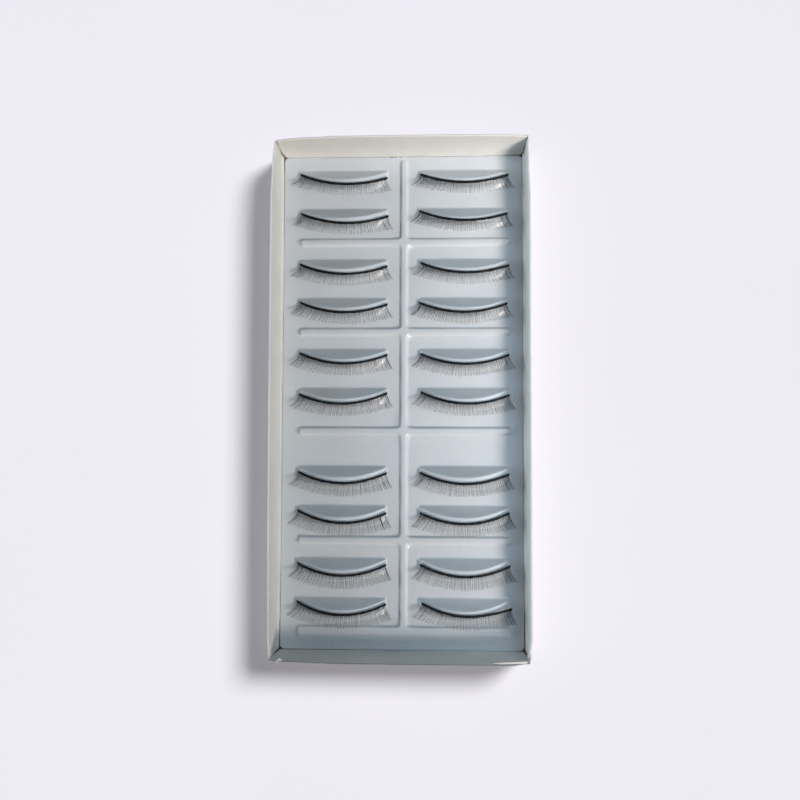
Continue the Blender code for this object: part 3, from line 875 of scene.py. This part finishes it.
def make_strip(column, row):
    """One strip: a thread band on its seat and its fringe of single hairs."""
    across_shift, along_shift, turn_deg, peel = LAY[column][row]
    turn = math.radians(turn_deg)
    pivot = ridge_place(0.0) + BAND_SET
    chance = random.Random(f"{column}{row}")
    points = []
    faces = []

    def place(across, along, up):
        offset = along - pivot
        x = across * math.cos(turn) - offset * math.sin(turn) + across_shift * BAND_WIDTH
        y = across * math.sin(turn) + offset * math.cos(turn) + along_shift * BAND_WIDTH
        return (COLUMN_X[column] + x, CHORDS[row] - pivot - y, FLOOR + up)

    def band(share):
        across = share * (BAND_SPAN + BAND_OVERRUN) / 2
        peeled = peel * max(0.0, share) ** 3
        along = ridge_place(across) + BAND_SET + BAND_LOWER
        along += (BAND_END_SET - BAND_SET) * share * share
        rest = arch_height(across + across_shift * BAND_WIDTH) + BAND_REST
        return across, along + peeled * PEEL_DROP, rest + peeled * PEEL_LIFT

    waves = [(chance.uniform(0.01, 0.03), chance.uniform(3, 16), chance.uniform(0, 6.3)) for _ in range(5)]
    for step in range(BAND_STEPS + 1):
        u = -1.0 + 2.0 * step / BAND_STEPS
        share = 0.75 * u + 0.25 * math.sin(u * math.pi / 2)
        across, along, low = band(share)
        uneven = sum(size * math.sin(rate * share * 3 + shift) for size, rate, shift in waves)
        end = max(0.0, abs(share) - 0.988) / 0.012
        size = math.sqrt(1.0 - 0.6 * end * end)
        half_width = (BAND_BODY_WIDTH / 2 + uneven * 0.6) * size
        half_height = (BAND_THICKNESS / 2) * size
        for side in range(BAND_SIDES):
            angle = 2 * math.pi * (side + 0.5) / BAND_SIDES
            rough = 1.0 + chance.uniform(-0.05, 0.05)
            points.append(place(
                across,
                along + uneven * 0.3 + half_width * rounded(math.cos(angle), 0.75) * rough,
                low + BAND_THICKNESS / 2 + half_height * rounded(math.sin(angle), 0.75) * rough,
            ))
    for step in range(BAND_STEPS):
        for side in range(BAND_SIDES):
            after = (side + 1) % BAND_SIDES
            a = step * BAND_SIDES
            b = a + BAND_SIDES
            faces.append((a + side, b + side, b + after, a + after))
    faces.append(tuple(range(BAND_SIDES)))
    faces.append(tuple(BAND_STEPS * BAND_SIDES + k for k in reversed(range(BAND_SIDES))))

    clumps = [(chance.uniform(-1, 1), chance.uniform(-0.3, 0.3)) for _ in range(HAIR_CLUMPS)]
    roots = []
    for index in range(HAIRS):
        even = -HAIR_SHARE + 2 * HAIR_SHARE * (index + 0.5) / HAIRS
        roots.append(even + chance.gauss(0, 0.003))
    for side in (-1, 1):
        roots += [side * (HAIR_SHARE - 0.14 * chance.random() ** 1.5) for _ in range(HAIR_DARK_ENDS)]
    for share in roots:
        share = max(-0.99, min(0.99, share))
        across, along, low = band(share)
        pull = 0.0
        for centre, amount in clumps:
            near = math.exp(-((share - centre) / CLUMP_SHARE) ** 2)
            pull += near * (amount + 12.0 * (centre - share))
        end = abs(share)
        reach = (HAIR_REACH + HAIR_OVERREACH + BAND_WIDTH / 2) * (1 + chance.gauss(0, 0.035))
        rise = HAIR_RISE * (1 + chance.gauss(0, 0.12))
        radius = HAIR_RADIUS * chance.uniform(0.85, 1.15)
        root_turn = math.radians(HAIR_ROOT_TURN * share + chance.gauss(0, 1.5))
        hand = "left" if share < 0 else "right"
        tip_x = across + math.copysign(HAIR_OUT[hand] * end ** 1.5, share) + 0.3 * pull
        tip_x += chance.gauss(0, 0.10)
        tip_y = along + reach + HAIR_LOWER[hand] * end ** 4
        elbow_x = across + 0.5 * reach * math.sin(root_turn)
        elbow_y = along + 0.5 * reach * math.cos(root_turn)
        start = len(points)
        for step in range(HAIR_STEPS + 1):
            t = step / HAIR_STEPS
            x = (1 - t) ** 2 * across + 2 * t * (1 - t) * elbow_x + t * t * tip_x
            y = (1 - t) ** 2 * (along + 0.1) + 2 * t * (1 - t) * elbow_y + t * t * tip_y
            way_x = (1 - t) * (elbow_x - across) + t * (tip_x - elbow_x)
            way_y = (1 - t) * (elbow_y - along) + t * (tip_y - elbow_y)
            size = math.hypot(way_x, way_y)
            dip = HAIR_DIP * math.sin(math.pi * min(1.0, t * 1.3))
            z = low + HAIR_ROOT_HEIGHT - dip + rise * t ** 1.9
            thin = radius + (HAIR_TIP_RADIUS - radius) * t ** 1.4
            side_x = way_y / size
            side_y = -way_x / size
            for side in range(HAIR_SIDES):
                angle = 2 * math.pi * side / HAIR_SIDES + math.pi / 2
                points.append(place(
                    x + side_x * thin * math.cos(angle),
                    y + side_y * thin * math.cos(angle),
                    z + thin * math.sin(angle),
                ))
        for step in range(HAIR_STEPS):
            for side in range(HAIR_SIDES):
                after = (side + 1) % HAIR_SIDES
                a = start + step * HAIR_SIDES
                b = a + HAIR_SIDES
                faces.append((a + side, a + after, b + after, b + side))
        faces.append(tuple(start + k for k in reversed(range(HAIR_SIDES))))
        faces.append(tuple(start + HAIR_STEPS * HAIR_SIDES + k for k in range(HAIR_SIDES)))
    made = make_piece(f"strip_{column}_{row + 1:02d}", points, faces, "lash_fibre")
    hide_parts(f"lash_{column}_{row + 1:02d}")
    return made


# Light, floor and camera

def new_light(name, kind, strength):
    data = bpy.data.lights.new(name, kind)
    data.energy = max(strength)
    data.color = tuple(value / max(strength) for value in strength)
    made = bpy.data.objects.new(name, data)
    bpy.context.scene.collection.objects.link(made)
    return made


def aim(light, place, target, roll=0.0):
    light.location = place
    turn = (Vector(target) - Vector(place)).to_track_quat("-Z", "Y")
    light.rotation_euler = (turn @ Quaternion((0.0, 0.0, 1.0), math.radians(roll))).to_euler()


def light_only(light, things):
    """Restricts what a light shines on."""
    lit = bpy.data.collections.new("lit_by_" + light.name)
    for thing in things:
        lit.objects.link(thing)
    light.light_linking.receiver_collection = lit


def make_stage():
    mesh = bpy.data.meshes.new("floor")
    reach = FLOOR_REACH
    corners = [(-reach, -reach, 0), (reach, -reach, 0), (reach, reach, 0), (-reach, reach, 0)]
    mesh.from_pydata(corners, [], [(0, 1, 2, 3)])
    floor = bpy.data.objects.new("floor", mesh)
    bpy.context.scene.collection.objects.link(floor)
    made, tree, shader = new_material("floor")
    where = add_node(tree, "ShaderNodeTexCoord").outputs["Object"]
    soft = noise(tree, where, 8.0, 2.0, 0.5)
    pale = ramp(tree, soft, ((0.3, (0.298, 0.298, 0.298)), (0.7, (0.302, 0.302, 0.302))))
    tree.links.new(pale, shader.inputs["Base Color"])
    shader.inputs["Roughness"].default_value = 0.9
    shader.inputs["Specular IOR Level"].default_value = 0.0
    mesh.materials.append(made)
    return floor


def make_world():
    """Weak cool light all round."""
    world = bpy.context.scene.world or bpy.data.worlds.new("world")
    bpy.context.scene.world = world
    world.use_nodes = True
    background = world.node_tree.nodes["Background"]
    background.inputs["Color"].default_value = (*WORLD_COLOUR, 1.0)
    background.inputs["Strength"].default_value = 1.0


def make_light(floor, things):
    """The sun and the lamps on the object, and the floor's own sun and fill."""
    for row in SUNS:
        facts = dict(zip(SUN_FIELDS, row))
        sun = new_light(facts["name"], "SUN", facts["strength"])
        aim(sun, facts["direction"], (0.0, 0.0, 0.0))
        sun.data.angle = math.radians(facts["angle"])
        light_only(sun, things)
    for row in LAMPS:
        facts = dict(zip(LAMP_FIELDS, row))
        lamp = new_light(facts["name"], "AREA", facts["strength"])
        lamp.data.shape = "RECTANGLE"
        lamp.data.size = facts["width"]
        lamp.data.size_y = facts["length"]
        lamp.data.spread = math.radians(facts["spread"])
        lamp.visible_diffuse = facts["name"] != "head_gloss"
        aim(lamp, facts["place"], facts["target"], facts["roll"])
        light_only(lamp, things)
    direction, angle, strength = FLOOR_SUN
    sun = new_light("floor_sun", "SUN", strength)
    aim(sun, direction, (0.0, 0.0, 0.0))
    sun.data.angle = math.radians(angle)
    light_only(sun, [floor])
    fill = new_light("floor_fill", "SUN", FLOOR_FILL)
    aim(fill, (0.0, 0.0, 1.0), (0.0, 0.0, 0.0))
    fill.data.use_shadow = False
    light_only(fill, [floor])
    bpy.context.scene.view_settings.view_transform = "Standard"


def make_camera():
    data = bpy.data.cameras.new("camera")
    data.sensor_width = 36.0
    data.lens = CAMERA_LENS
    data.clip_start = 0.01
    camera = bpy.data.objects.new("camera", data)
    x, y, z = CAMERA_PLACE
    camera.location = ((x + INSERT_X) * MM, (y + INSERT_Y) * MM, (z + FLOOR) * MM)
    camera.rotation_euler = Euler([math.radians(angle) for angle in CAMERA_TURN], "XYZ")
    bpy.context.scene.collection.objects.link(camera)
    bpy.context.scene.camera = camera


make_camera()
pieces = [insert_sheet(), box_board(), box_base(), corner_board(), box_scraps(), specks()]
for side_name in LAY:
    for row_index in range(len(CHORDS)):
        pieces.append(make_strip(side_name, row_index))
make_world()
make_light(make_stage(), pieces)
